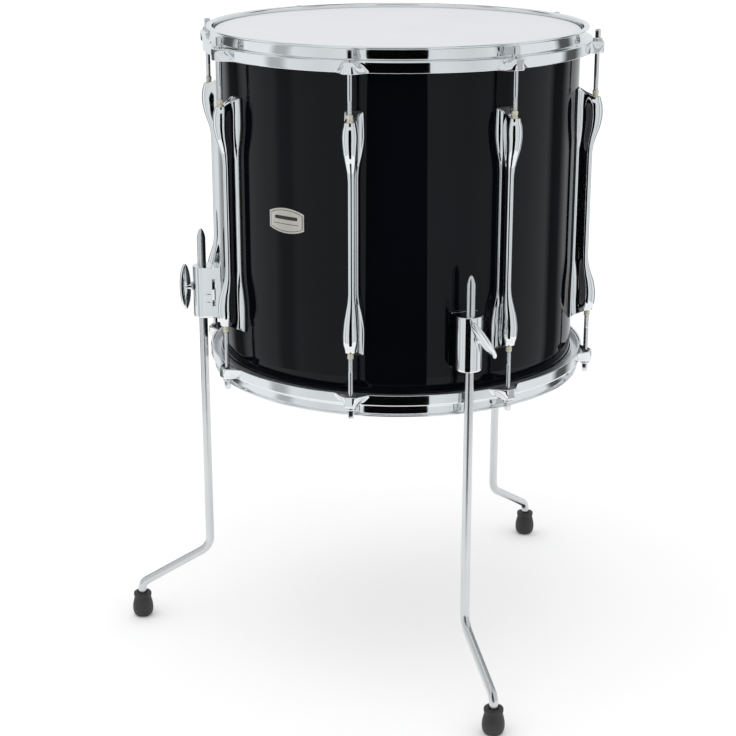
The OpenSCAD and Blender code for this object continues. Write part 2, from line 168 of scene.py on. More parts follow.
def table(points, x):
    """Value at x on a smooth curve without overshoot through a few (x, value) pairs."""
    if x <= points[0][0]:
        return points[0][1]
    if x >= points[-1][0]:
        return points[-1][1]
    slopes = [(b[1] - a[1]) / (b[0] - a[0]) for a, b in zip(points, points[1:])]
    at = next(i for i in range(len(slopes)) if x <= points[i + 1][0])

    def tangent(i):
        if i in (0, len(slopes)) or slopes[i - 1] * slopes[i] <= 0:
            return 0.0
        return 2 * slopes[i - 1] * slopes[i] / (slopes[i - 1] + slopes[i])

    (x0, v0), (x1, v1) = points[at], points[at + 1]
    h = x1 - x0
    t = (x - x0) / h
    return (v0 * (1 + 2 * t) * (1 - t) ** 2 + tangent(at) * h * t * (1 - t) ** 2
            + v1 * t * t * (3 - 2 * t) + tangent(at + 1) * h * t * t * (t - 1))


def join(name, pieces):
    """Joins the pieces into the first one."""
    bpy.ops.object.select_all(action="DESELECT")
    for p in pieces:
        p.select_set(True)
    bpy.context.view_layer.objects.active = pieces[0]
    bpy.ops.object.join()
    pieces[0].name = name
    pieces[0].data.name = name
    return pieces[0]


def place(piece, matrix):
    """Moves a piece's mesh, leaving its object at the origin."""
    piece.data.transform(matrix)


def put(piece, body, material, slot, *nodes):
    """Gives a finished piece its material and body, and hides the CAD nodes that it stands for. The record
    slot is not used.
    """
    if not piece.data.materials:
        piece.data.materials.append(material)
    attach(piece, body)
    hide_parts(*nodes)


# ---------------------------------------------------------------- materials


class Paint:
    """A node material under construction."""

    def __init__(self, name, **sockets):
        self.material = bpy.data.materials.new(name)
        self.material.use_nodes = True
        self.nodes = self.material.node_tree.nodes
        self.links = self.material.node_tree.links
        self.shader = self.nodes["Principled BSDF"]
        self.where = self.nodes.new("ShaderNodeTexCoord").outputs["Object"]
        for key, value in sockets.items():
            self.shader.inputs[key.replace("_", " ")].default_value = value

    def noise(self, scale, detail=4.0, rough=0.5, stretch=None):
        node = self.nodes.new("ShaderNodeTexNoise")
        node.inputs["Scale"].default_value = scale
        node.inputs["Detail"].default_value = detail
        node.inputs["Roughness"].default_value = rough
        source = self.where
        if stretch:
            mapping = self.nodes.new("ShaderNodeMapping")
            mapping.inputs["Scale"].default_value = stretch
            self.links.new(source, mapping.inputs["Vector"])
            source = mapping.outputs["Vector"]
        self.links.new(source, node.inputs["Vector"])
        return node.outputs["Fac"]

    def ramp(self, source, stops):
        node = self.nodes.new("ShaderNodeValToRGB")
        elements = node.color_ramp.elements
        while len(elements) < len(stops):
            elements.new(0.5)
        for element, (at, colour) in zip(elements, stops):
            element.position = at
            element.color = (*colour, 1)
        self.links.new(source, node.inputs["Fac"])
        return node.outputs["Color"]

    def spread(self, source, low, high):
        node = self.nodes.new("ShaderNodeMapRange")
        node.inputs["To Min"].default_value = low
        node.inputs["To Max"].default_value = high
        self.links.new(source, node.inputs["Value"])
        return node.outputs["Result"]

    def mix(self, fac, a, b):
        node = self.nodes.new("ShaderNodeMix")
        node.data_type = "RGBA"
        self.links.new(fac, node.inputs["Factor"])
        self.links.new(a, node.inputs["A"])
        self.links.new(b, node.inputs["B"])
        return node.outputs["Result"]

    def feed(self, key, source):
        self.links.new(source, self.shader.inputs[key])

    def bump(self, source, strength, distance):
        node = self.nodes.new("ShaderNodeBump")
        node.inputs["Strength"].default_value = strength
        node.inputs["Distance"].default_value = distance
        self.links.new(source, node.inputs["Height"])
        self.links.new(node.outputs["Normal"], self.shader.inputs["Normal"])


def chrome(name, tint=(0.80, 0.82, 0.83), rough=(0.03, 0.08), wave=0.0):
    """Plated metal: a fine grain, or for castings a long wave of that height in metres."""
    p = Paint(name, Metallic=1.0)
    cloud = p.noise(38, 5)
    p.feed("Base Color", p.ramp(cloud, [(0.3, [c * 0.97 for c in tint]), (0.7, tint)]))
    p.feed("Roughness", p.spread(p.noise(240, 6, 0.7), *rough))
    p.bump(p.noise(60 if wave else 900, 2), 0.25 if wave else 0.05, wave or 0.00002)
    return p.material


def lacquer():
    p = Paint("black_lacquer", IOR=1.45, Coat_Weight=1.0, Coat_Roughness=0.015, Coat_IOR=1.26)
    p.shader.inputs["Specular IOR Level"].default_value = 0.0
    cloud = p.noise(6, 3)
    p.feed("Base Color", p.ramp(cloud, [(0.3, (0.0015, 0.002, 0.003)), (0.7, (0.002, 0.0026, 0.004))]))
    p.feed("Roughness", p.spread(p.noise(90, 4), 0.04, 0.09))
    p.bump(p.noise(55, 2), 0.04, 0.0002)
    return p.material


def birch():
    p = Paint("birch_ply", Coat_Weight=0.25, Coat_Roughness=0.25)
    grain = p.noise(30, 8, 0.6, (1.0, 1.0, 0.05))
    fine = p.noise(220, 4, 0.6, (1.0, 1.0, 0.04))
    light = p.ramp(grain, [(0.3, (0.56, 0.40, 0.23)), (0.7, (0.72, 0.55, 0.35))])
    dark = p.ramp(fine, [(0.35, (0.42, 0.28, 0.15)), (0.6, (0.70, 0.53, 0.33))])
    p.feed("Base Color", p.mix(p.spread(fine, 0.2, 0.7), light, dark))
    p.feed("Roughness", p.spread(grain, 0.38, 0.6))
    p.bump(fine, 0.3, 0.0002)
    return p.material


def coated_film():
    p = Paint("coated_film", IOR=1.5)
    cloud = p.noise(9, 4)
    p.feed("Base Color", p.ramp(cloud, [(0.3, (0.64, 0.645, 0.665)), (0.7, (0.665, 0.67, 0.69))]))
    grit = p.noise(1500, 3, 0.6)
    p.feed("Roughness", p.spread(grit, 0.42, 0.62))
    p.bump(grit, 0.25, 0.00006)
    return p.material


def clear_film():
    p = Paint("clear_film", IOR=1.4, Transmission_Weight=0.85)
    cloud = p.noise(7, 3)
    p.feed("Base Color", p.ramp(cloud, [(0.3, (0.82, 0.85, 0.88)), (0.7, (0.88, 0.9, 0.92))]))
    p.feed("Roughness", p.spread(p.noise(300, 3), 0.08, 0.16))
    return p.material


def rubber(name, shade=0.02):
    p = Paint(name, IOR=1.5)
    cloud = p.noise(70, 5)
    p.feed("Base Color", p.ramp(cloud, [(0.3, (shade,) * 3), (0.75, (shade * 1.6,) * 3)]))
    p.feed("Roughness", p.spread(p.noise(400, 5), 0.42, 0.62))
    p.bump(p.noise(900, 4), 0.25, 0.00008)
    return p.material


def brushed(name, tint, rough=(0.22, 0.36), stretch=(1, 1, 40)):
    p = Paint(name, Metallic=1.0)
    lines = p.noise(60, 6, 0.7, stretch)
    p.feed("Base Color", p.ramp(lines, [(0.3, [c * 0.85 for c in tint]), (0.7, tint)]))
    p.feed("Roughness", p.spread(lines, *rough))
    p.bump(lines, 0.2, 0.00005)
    return p.material


def pale_brass():
    p = Paint("insert_metal", Metallic=0.35, IOR=1.5)
    cloud = p.noise(300, 4)
    p.feed("Base Color", p.ramp(cloud, [(0.3, (0.50, 0.48, 0.37)), (0.7, (0.62, 0.60, 0.49))]))
    p.feed("Roughness", p.spread(cloud, 0.3, 0.45))
    p.bump(p.noise(1200, 3), 0.15, 0.00005)
    return p.material


CHROME_HOOP = chrome("chrome_hoop", rough=(0.03, 0.07))
CHROME_CAST = chrome("chrome_casting", rough=(0.04, 0.08), wave=0.00003)
CHROME_ROD = chrome("chrome_rod", (0.72, 0.73, 0.74), (0.10, 0.18))
CHROME_LEG = chrome("chrome_leg", (0.66, 0.67, 0.68), (0.2, 0.28))
LACQUER = lacquer()
BIRCH = birch()
COATED = coated_film()
CLEAR = clear_film()
RUBBER_FOOT = rubber("foot_rubber", 0.014)
RUBBER_GASKET = rubber("gasket_rubber", 0.012)
ENAMEL = rubber("black_enamel", 0.006)
STEEL = brushed("zinc_steel", (0.55, 0.56, 0.58))
ALUMINIUM = brushed("mill_aluminium", (0.72, 0.73, 0.75))
NICKEL = brushed("badge_nickel", (0.66, 0.63, 0.57), (0.25, 0.4), (12, 12, 1))
PALE = pale_brass()

CAD_MATERIALS = {
    "flesh_hoop": ALUMINIUM,
    "gasket": RUBBER_GASKET,
    "screw": STEEL,
    "washer": CHROME_ROD,
    "eye_bolt": CHROME_ROD,
}


def paint_cad_nodes():
    for name, node in frame["nodes"].items():
        material = next((m for key, m in CAD_MATERIALS.items() if key in name), CHROME_CAST)
        if not node.material_slots:
            node.data.materials.append(material)
        for s in node.material_slots:
            s.material = material


# ---------------------------------------------------------------- shell and heads

VENT_CUT_R = 6.9
EDGE_DROP = 1.8 * MM  # the outside of the bearing edge starts this far below its top
BEVEL_DROP = 5 * MM  # and its inside bevel ends this far below
FILM = (0.05, 0.4)  # underside and top of a film above the bearing edge, mm

def make_shell():
    r, half = SHELL_R, SHELL_HALF
    inner = r - SHELL_WALL
    edge = [(inner, half - BEVEL_DROP), (r - 3.0 * MM, half - 0.3 * MM), (r - 2.3 * MM, half),
            (r - 1.5 * MM, half - 0.1 * MM), (r - 0.5 * MM, half - 0.6 * MM), (r, half - EDGE_DROP)]
    lower = [(q, -z) for q, z in reversed(edge)]
    rows = 8
    outside = [(r, (half - EDGE_DROP) * (1 - 2 * i / rows)) for i in range(1, rows)]
    inside = [(inner, (half - BEVEL_DROP) * (2 * i / rows - 1)) for i in range(1, rows)]
    section = [(q, z + SHELL_MID) for q, z in edge + outside + lower + inside]
    shell = lathe("drum_shell", section)
    cut_vent(shell)
    shell.data.materials.append(LACQUER)
    shell.data.materials.append(BIRCH)
    for face in shell.data.polygons:
        middle = face.center
        outward = face.normal.x * middle.x + face.normal.y * middle.y
        near_edge = abs(middle.z - SHELL_MID) > half - 1.7 * MM
        face.material_index = 1 if outward < 0 or near_edge else 0
    put(shell, "drum_body", LACQUER, "shell_lacquer", "shell")


def cut_vent(shell):
    """Bores the shell for the vent grommet."""
    angle = angle_of("vent_grommet")
    bm = bmesh.new()
    bmesh.ops.create_cone(bm, cap_ends=True, segments=48, radius1=VENT_CUT_R * MM, radius2=VENT_CUT_R * MM,
                          depth=0.04)
    tool_mesh = bpy.data.meshes.new("vent_tool")
    bm.to_mesh(tool_mesh)
    bm.free()
    tool_mesh.transform(
        Matrix.Translation(around(angle, 0, SHELL_R, SHELL_MID))
        @ Matrix.Rotation(angle, 4, "Z") @ Matrix.Rotation(math.pi / 2, 4, "X"))
    tool = add_object("vent_tool", tool_mesh)
    cutter = shell.modifiers.new("vent", "BOOLEAN")
    cutter.object = tool
    cutter.operation = "DIFFERENCE"
    cutter.solver = "EXACT"
    bpy.context.view_layer.objects.active = shell
    bpy.ops.object.modifier_apply(modifier="vent")
    bpy.data.objects.remove(tool)
    shell.data.set_sharp_from_angle(angle=math.radians(35))


def end_heights(side):
    """Maps a height above a bearing edge to the drum's own height, at either end."""
    if side == "batter":
        return lambda z: SHELL_MID + SHELL_HALF + z
    return lambda z: SHELL_MID - SHELL_HALF - z


def make_head(side, material, slot):
    """A film that is flat inside, turns over the bearing edge and ends in a collar."""
    up = end_heights(side)
    r = SHELL_R / MM
    low, high = FILM
    over = [(q, high) for q in (0.0, 40, 80, 120, 160, 185)]
    over += [(r - 1.5, high), (r - 0.3, 0.25), (r + 0.4, -0.3), (r + 0.75, -1.2), (r + 0.8, -2.6),
             (r + 0.8, -14.5)]
    under = [(r + 0.4, -14.5), (r + 0.4, -2.2), (r + 0.1, -0.6), (r - 0.6, -0.02), (r - 1.5, low)]
    under += [(q, low) for q in (120, 40, 0.0)]
    head = lathe(f"{side}_head", [(q * MM, up(z * MM)) for q, z in over + under], 192, 50)
    put(head, f"{side}_head", material, slot, f"{side}_head_film")


# ---------------------------------------------------------------- hoops

EAR_REACH = 12.9 * MM
SKIRT_R = 217 * MM
WALL_R = SHELL_R + 2.8 * MM
SHEET = 2.3 * MM
LEDGE = -8.5 * MM
SKIRT_LOW = -20.8 * MM
RIM_TOP = 5 * MM
HOOP_STEPS = 960


def hoop_section():
    """(radius, height, how far the ear pushes it, depth down the skirt) round the hoop's section."""
    w, t = WALL_R, SHEET
    rim = w + t + 4.4 * MM
    plain = [(w, LEDGE - t), (w, LEDGE + 4 * MM), (w, RIM_TOP - 3.4 * MM)]
    plain += [(w + 1.9 * MM + x, RIM_TOP - 1.9 * MM + y) for x, y in arc(0, 0, 1.9 * MM, 180, 100, 5)]
    plain += [(rim - 1.15 * MM + x, RIM_TOP - 1.15 * MM + y) for x, y in arc(0, 0, 1.15 * MM, 84, -90, 7)]
    plain += [(w + t + 1.4 * MM + x, RIM_TOP - t - 1.4 * MM + y) for x, y in arc(0, 0, 1.4 * MM, 90, 180, 5)]
    plain += [(w + t, LEDGE + 5 * MM)]
    plain += [(w + t + 1.2 * MM + x, LEDGE + 1.2 * MM + y) for x, y in arc(0, 0, 1.2 * MM, 180, 270, 4)]
    section = [(r, z, 0.0, 0.0) for r, z in plain]
    corner = [(SKIRT_R - 1.6 * MM + x, LEDGE - 1.6 * MM + y) for x, y in arc(0, 0, 1.6 * MM, 90, 0, 5)]
    section += [(r, z, 1.0, 0.0) for r, z in corner]
    depth = LEDGE - 1.6 * MM - (SKIRT_LOW + 0.8 * MM)
    for i in range(1, 8):
        z = LEDGE - 1.6 * MM - depth * i / 7
        section.append((SKIRT_R, z, 1.0, i / 7))
    foot = [(SKIRT_R - SHEET / 2 + x, SKIRT_LOW + 0.8 * MM + y * 0.8)
            for x, y in arc(0, 0, SHEET / 2, -20, -160, 4)]
    section += [(r, z, 1.0, 1.0) for r, z in foot]
    for i in range(7, 0, -1):
        z = LEDGE - SHEET - 0.6 * MM - (depth - SHEET + 1.4 * MM) * i / 7
        section.append((SKIRT_R - SHEET, z, 1.0, i / 7))
    section += [(SKIRT_R - SHEET, LEDGE - t, 1.0, 0.0)]
    return section


def ear_push(across, depth):
    """How far an ear swells the skirt: a creased pocket that widens down the skirt."""
    flat, width = 4.6 * MM, (8.5 + 10.5 * depth) * MM
    t = min(1.0, max(0.0, (abs(across) - flat) / (width - flat)))
    return EAR_REACH * (0.3 * (0.5 + 0.5 * math.cos(math.pi * t)) + 0.7 * (1 - t))


def make_hoop(side):
    up = end_heights(side)
    section = hoop_section()
    rings = []
    for angle in turn_steps(HOOP_STEPS):
        away = min(((angle - a + math.pi) % TAU - math.pi for a in LUG_ANGLES), key=abs)
        across = away * SKIRT_R
        rings.append([around(angle, 0, r + push * ear_push(across, depth), up(z))
                      for r, z, push, depth in section])
    hoop = grid_mesh(f"{side}_rim_hoop", rings, True, sharp=40)
    put(hoop, f"{side}_head", CHROME_HOOP, "hoop_chrome", f"{side}_hoop")


# ---------------------------------------------------------------- tension rods

THREAD_PITCH = 1.058
ROD_TOP = 11.3  # top of the square head above the flange's underside
ROD_TURNS = [0.35, -0.2, 0.1, 0.6, -0.45, 0.25, 0.5, -0.1]  # how each square head happens to stand
FLANGE = [(2.6, 0.02), (5.0, 0.02), (5.2, 0.25), (5.2, 1.3), (4.95, 1.65), (4.2, 1.95), (3.3, 2.1)]
WASHER = [(3.1, 0.0), (5.2, 0.0), (5.45, 0.2), (5.45, 1.0), (5.2, 1.28), (3.1, 1.28)]

def square_ring(half, corner, z, per_side=3):
    """A square with rounded corners, as a ring of points."""
    points = []
    for k, (cx, cy) in enumerate([(1, 1), (-1, 1), (-1, -1), (1, -1)]):
        for i in range(per_side + 1):
            a = math.radians(90 * k + 90 * i / per_side)
            points.append((cx * (half - corner) + corner * math.cos(a),
                           cy * (half - corner) + corner * math.sin(a), z))
    return points


def circle_ring(r, z, count=24, thread=0.0):
    """A ring at a height, or one turn of a thread of that depth."""
    ring = []
    for i in range(count):
        a = TAU * i / count
        phase = (z / (THREAD_PITCH * MM) - i / count) % 1.0
        q = r - thread * abs(2 * phase - 1)
        ring.append((q * math.cos(a), q * math.sin(a), z))
    return ring


def rod_template():
    """One tension rod with the underside of its flange at height 0, head up."""
    head = [(2.95, 0.7, 1.6), (3.1, 0.8, 3.2), (3.1, 0.8, 10.0), (2.9, 0.8, 10.8), (2.3, 0.8, 11.25),
            (1.2, 0.6, ROD_TOP)]
    key = grid_mesh("rod_key", [square_ring(half * MM, corner * MM, z * MM) for half, corner, z in head],
                    False, (True, True), 30)
    collar = [circle_ring(r * MM, z * MM, 32) for r, z in FLANGE]
    flange = grid_mesh("rod_flange", collar, False, (True, True), 40)
    shank = [circle_ring(2.6 * MM, 0.5 * MM), circle_ring(2.55 * MM, -40 * MM)]
    z = -41.0
    while z > -73.0:
        shank.append(circle_ring(2.72 * MM, z * MM, 24, 0.5 * MM))
        z -= THREAD_PITCH / 5
    shank += [circle_ring(2.1 * MM, -74 * MM), circle_ring(1.6 * MM, -75 * MM)]
    stem = grid_mesh("rod_stem", shank, False, (True, True), 60)
    return join("rod_template", [key, flange, stem])


def make_rods():
    template = rod_template()
    for side in ("batter", "resonant"):
        node_low, node_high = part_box(f"{side}_rod_1")
        seat = node_high.z - ROD_TOP * MM if side == "batter" else node_low.z + ROD_TOP * MM
        flip = Matrix.Identity(4) if side == "batter" else Matrix.Rotation(math.pi, 4, "X")
        for i, (p, angle, turn) in enumerate(zip(RODS, LUG_ANGLES, ROD_TURNS), 1):
            rod = add_object(f"{side}_tension_rod_{i}", template.data.copy())
            spin = Matrix.Rotation(angle + turn, 4, "Z")
            place(rod, Matrix.Translation((p.x, p.y, seat)) @ spin @ flip)
            put(rod, f"{side}_rod_{i}", CHROME_ROD, "rod_chrome", f"{side}_rod_{i}")
    bpy.data.objects.remove(template)


def make_rod_washers():
    for side in ("batter", "resonant"):
        up = end_heights(side)
        section = [(r * MM, up(LEDGE + z * MM)) for r, z in WASHER]
        washers = join(f"{side}_washers", [lathe("washer", section, 32, at=p) for p in RODS])
        put(washers, f"{side}_head", CHROME_ROD, "rod_chrome", f"{side}_rod_washers")


# ---------------------------------------------------------------- lugs

# Along a lug, by distance from its middle: height above the shell, then half widths of the ridge that
# the rods run in, of the web under it and of the base on the shell. All in mm.
LUG_HEIGHT = [(56, 18.4), (66, 19.2), (78, 22.6), (90, 26.6), (103, 28.4), (112, 27.8), (121, 25.6)]
LUG_RIDGE = [(58, 3.5), (68, 4.2), (80, 6.0), (92, 7.5), (106, 8.35), (114, 7.6), (121, 6.0)]
LUG_WEB = [(58, 2.3), (70, 2.6), (84, 3.8), (100, 5.0), (112, 5.2), (121, 4.8)]
LUG_BASE = [(60, 4.3), (72, 5.2), (86, 8.3), (104, 10.6), (116, 10.2), (128, 9.2)]
LUG_END = 121.0
BASE_END = 129.0
LEAN_START = 96  # from here the base runs on past the end of the ridge
BASE_LIFT = 0.85  # thickness of the gasket under it
LUG_STEPS = 110
# Into the mouth at a lug's end: radius, depth below the end, how round the ring already is
LUG_MOUTH = [(5.6, -0.35, 0.5), (4.75, -0.1, 1.0), (4.45, 0.6, 1.0), (4.35, 6.0, 1.0), (3.0, 6.0, 1.0)]
INSERT = [(2.8, 106), (3.7, 106), (3.7, 121), (3.55, 121.6), (3.0, 122.2), (2.95, 123.4), (3.3, 124.2),
          (3.35, 127.6), (3.1, 128.4), (2.8, 128.5)]


def lug_ring(z):
    """One cross-section of a lug at height z mm from its middle: a loop of (across, above shell, z)."""
    s = abs(z)
    h, ridge, web, base = (table(t, s) for t in (LUG_HEIGHT, LUG_RIDGE, LUG_WEB, LUG_BASE))
    centre = h - ridge
    neck = 2.0 + (centre - ridge - 2.0) * 0.45
    half = [(base - 0.2, BASE_LIFT), (base, BASE_LIFT + 0.5), (base - 0.15, BASE_LIFT + 1.3),
            (base - 0.7, BASE_LIFT + 1.8)]
    half += [(web + (base - 1.4 - web) * (1 - t) ** 1.5, BASE_LIFT + 1.9 + (neck - 1.9) * t ** 1.3)
             for t in (0.08, 0.25, 0.5, 0.75, 1.0)]
    half += [(web + (ridge - web) * smooth(t) * 0.97, neck + BASE_LIFT + (centre - neck - BASE_LIFT) * t)
             for t in (0.35, 0.6, 0.8)]
    half += [(ridge * math.cos(a), centre + ridge * math.sin(a))
             for a in (math.radians(d) for d in (-8, 8, 24, 40, 54, 68, 80))]
    loop = half + [(0.0, h)] + [(-x, y) for x, y in reversed(half)]
    lean = (BASE_END - LUG_END) * smooth((s - LEAN_START) / (LUG_END - LEAN_START))
    sign = 1 if z >= 0 else -1
    out = []
    for x, y in loop:
        share = 1 - min(1.0, max(0.0, (y - BASE_LIFT - 1.5) / 17.0))
        out.append((x, y, z + sign * lean * share))
    return out


def make_lug(i):
    angle = LUG_ANGLES[i - 1]
    rings = [lug_ring(2 * LUG_END * k / LUG_STEPS - LUG_END) for k in range(LUG_STEPS + 1)]
    bottom, top = mouth_rings(rings[0], -1), mouth_rings(rings[-1], 1)
    rings = bottom[::-1] + rings + top
    points = [[around(angle, x * MM, SHELL_R + y * MM, SHELL_MID + z * MM) for x, y, z in ring]
              for ring in rings]
    lug = grid_mesh(f"chrome_lug_{i}", points, False, (True, True), 42)
    put(lug, "drum_body", CHROME_CAST, "casting_chrome", f"lug_{i}")


def mouth_rings(outline, sign):
    """Rings that lead from a lug's end outline into the round hole of its insert."""
    rod_out = (ROD_R - SHELL_R) / MM
    rings = []
    for r, drop, blend in LUG_MOUTH:
        flat = sign * (LUG_END - drop)
        ring = []
        for x, y, z in outline:
            size = math.hypot(x, y - rod_out) or 1e-6
            tx, ty = x / size * r, rod_out + (y - rod_out) / size * r
            ring.append((x + (tx - x) * blend, y + (ty - y) * blend, z + (flat - z) * blend))
        rings.append(ring)
    return rings


def make_inserts():
    pieces = [lathe("insert", [(r * MM, SHELL_MID + sign * z * MM) for r, z in INSERT], 32, at=p)
              for p in RODS for sign in (1, -1)]
    put(join("lug_insert_set", pieces), "drum_body", PALE, "insert_brass", "lug_inserts")


# ---------------------------------------------------------------- leg brackets and clamps

BRACKET_HALF = 14.75
BRACKET_CENTRE = 19.1  # centre of the round outer face, out from the shell
GROOVES = (19.3, 28.5)  # heights of the fine grooves above a bracket's lower end
GROOVE_SHAPE = [(-0.6, 0.0), (-0.35, 0.35), (0.35, 0.35), (0.6, 0.0)]  # height, depth

def plan_loop(half_width, back, centre, steps=24):
    """Bracket plan: straight sides from the back, round outside. (across, out) points in mm."""
    loop = [(half_width, back), (half_width, (back + centre) / 2)]
    loop += [(half_width * math.cos(math.pi * k / steps), centre + half_width * math.sin(math.pi * k / steps))
             for k in range(steps + 1)]
    loop += [(-half_width, (back + centre) / 2), (-half_width, back)]
    return loop


def soft_block(name, angle, back, low, high, bevel):
    """A bracket block with rounded ends and grooved sides. The heights are in metres, the rest in mm."""
    centre = SHELL_R / MM + BRACKET_CENTRE
    b = bevel * MM
    levels = [(low, bevel, 0.0)]
    levels += [(low + b - b * math.sin(a), bevel - bevel * math.cos(a), 0.0)
               for a in (math.radians(d) for d in (60, 30, 0))]
    levels += [(low + b * 3, 0.0, 0.0)]
    levels += [(low + start * MM + x * MM, 0.0, depth) for start in GROOVES for x, depth in GROOVE_SHAPE]
    levels += [((low + high) / 2 + 4 * MM, 0.0, 0.0), (high - b * 3, 0.0, 0.0)]
    levels += [(high - b + b * math.sin(a), bevel - bevel * math.cos(a), 0.0)
               for a in (math.radians(d) for d in (0, 30, 60))]
    levels += [(high, bevel, 0.0)]
    rings = []
    for z, inset, groove in levels:
        ring = []
        for x, y in plan_loop(BRACKET_HALF - inset, back + inset, centre):
            flat_side = y <= centre - 0.5 and abs(x) >= BRACKET_HALF - 1
            cut = math.copysign(groove, x) if flat_side else 0.0
            ring.append(around(angle, (x - cut) * MM, y * MM, z))
        rings.append(ring)
    return grid_mesh(name, rings, False, (True, True), 35)


def make_bracket(key):
    node = f"leg_bracket_{key}"
    angle = angle_of(f"foot_{key}")
    low, high = (corner.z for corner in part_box(node))
    shell = SHELL_R / MM
    block = soft_block("block", angle, shell + 10.3, low, high, 1.1)
    base = soft_plate("base", angle, BRACKET_HALF, shell + 0.85, shell + 6.3, low + 0.3 * MM, high - 0.3 * MM)
    pads = [soft_plate("pad", angle, BRACKET_HALF - 0.2, shell + 5.5, shell + 11.5, a, b)
            for a, b in ((low + 0.4 * MM, low + 14 * MM), (high - 14 * MM, high - 0.4 * MM))]
    bracket = join(f"chrome_bracket_{key}", [block, base] + pads)
    put(bracket, "drum_body", CHROME_CAST, "casting_chrome", node)


def soft_plate(name, angle, half_width, inner, outer, low, high):
    """A plate with softened edges whose back follows the shell."""
    bevel = 0.6
    count = 8
    rings = []
    for z, inset in ((low, bevel), (low + bevel * MM, 0.0), (high - bevel * MM, 0.0), (high, bevel)):
        w = half_width - inset
        xs = [-w + 2 * w * k / count for k in range(count + 1)]
        ring = [around(angle, x * MM, math.sqrt(inner * inner - x * x) * MM, z) for x in xs]
        ring += [around(angle, x * MM, (outer - inset * 0.5) * MM, z) for x in reversed(xs)]
        rings.append(ring)
    return grid_mesh(name, rings, False, (True, True), 30)


WING_LENGTH = 27.5  # half of the wing
WING_DEPTH = 6.75
WING_THICK = 2.9
WING_TILT = {"left": 0.0, "front": -37.0, "back": 25.0}
# Across the wing's half thickness: share of its outline, share of its thickness
WING_EDGE = [(1.0, 0.0), (0.99, 0.4), (0.965, 0.66), (0.92, 0.82), (0.8, 0.92), (0.55, 0.98), (0.25, 1.0)]
WING_HUB = [(3.05, 0.0), (4.0, 0.0), (4.25, 0.3), (4.3, 1.2), (3.9, 3.0), (3.6, 5.0), (3.1, 7.5), (2.4, 9.0),
            (1.2, 9.6)]


def make_wing_nut(key):
    """An oval plate, thick at its middle and thin at its rim, on a turned hub."""
    joint = JOINTS[f"wing_nut_{key}_turn"]
    axis = Vector(joint["axis"])
    start = BRACKET_HALF + 1.6
    middle = start + 1 + WING_DEPTH
    rings = [[(thick * WING_THICK * MM, -(middle + WING_DEPTH * share * math.cos(t)) * MM,
               WING_LENGTH * share * math.sin(t) * MM) for t in turn_steps(48)]
             for share, thick in WING_EDGE]
    other = [[(-x, y, z) for x, y, z in ring] for ring in reversed(rings[1:])]
    wing = grid_mesh("wing", other + rings, False, (True, True), 50)
    hub = grid_mesh("hub", [[(r * MM * math.cos(t), -(start + y) * MM, r * MM * math.sin(t))
                             for t in turn_steps(40)] for r, y in WING_HUB], False, (True, True), 40)
    nut = join(f"wing_nut_cast_{key}", [wing, hub])
    place(nut, Matrix.Translation(Vector(joint["pos_m"]))
          @ Matrix.Rotation(math.atan2(axis.x, -axis.y), 4, "Z")
          @ Matrix.Rotation(math.radians(WING_TILT[key]), 4, "Y"))
    put(nut, f"wing_nut_{key}", CHROME_CAST, "rod_chrome", f"wing_nut_{key}")


# ---------------------------------------------------------------- legs and feet

LEG_TIP = [(10.0, 0.25), (9.8, 0.8), (9.0, 1.75), (7.0, 2.95), (4.2, 3.95), (1.6, 4.55), (0.4, 4.85)]
LEG_TIP_LENGTH = 10
LEG_R = 4.98
BEND_TOP, BEND_LOW = 92.0, 43.0  # heights where the straight runs of a leg would meet
BEND_R_TOP, BEND_R_LOW = 22.0, 14.0
FOOT_SECTION = [
    (4.5, 0.0), (6.6, 0.1), (8.6, 0.7), (10.4, 2.2), (11.6, 4.4), (12.28, 7.5), (12.48, 11.0), (12.2, 15.0),
    (11.4, 19.0), (10.5, 22.6), (9.9, 24.8), (9.8, 25.6), (10.2, 26.1), (10.7, 26.6), (10.75, 29.6),
    (10.4, 30.6), (9.7, 31.0), (7.6, 31.0), (6.4, 30.6), (5.6, 29.8), (5.05, 28.6),
]


def make_leg(key):
    """A round bar with a bullet tip, from the clamp down through two bends into its foot."""
    foot = middle_of(f"foot_{key}")
    angle = angle_of(f"foot_{key}")
    foot_out = math.hypot(foot.x, foot.y) / MM
    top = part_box(f"leg_{key}")[1].z / MM
    tip_start = top - LEG_TIP_LENGTH
    turn = math.pi / 2 - math.atan2(BEND_TOP - BEND_LOW, foot_out - LEG_OUT)
    r1, r2 = BEND_R_TOP, BEND_R_LOW
    t1, t2 = r1 * math.tan(turn / 2), r2 * math.tan(turn / 2)
    down = -math.pi / 2
    path = [(LEG_OUT, z, down) for z in (tip_start, top - 60, 300, 200, BEND_TOP + t1 + 10)]
    for k in range(13):
        a = math.pi + turn * k / 12
        path.append((LEG_OUT + r1 + r1 * math.cos(a), BEND_TOP + t1 + r1 * math.sin(a), a + math.pi / 2))
    for k in range(13):
        a = turn - turn * k / 12
        path.append((foot_out - r2 + r2 * math.cos(a), BEND_LOW - t2 + r2 * math.sin(a), a - math.pi / 2))
    path.append((foot_out, 6.0, down))
    rings = [leg_circle(angle, LEG_OUT, tip_start + z, down, r) for z, r in LEG_TIP]
    rings += [leg_circle(angle, out, z, a, LEG_R) for out, z, a in path]
    leg = grid_mesh(f"bent_leg_{key}", rings, False, (True, True), 50)
    put(leg, f"leg_{key}", CHROME_LEG, "rod_chrome", f"leg_{key}")


def leg_circle(angle, out, up, direction, r):
    """A circle square to a direction in the leg's upright plane."""
    ring = []
    for t in turn_steps(40):
        side, lift = r * math.cos(t), r * math.sin(t)
        ring.append(around(angle, side * MM, (out - lift * math.sin(direction)) * MM,
                           (up + lift * math.cos(direction)) * MM))
    return ring


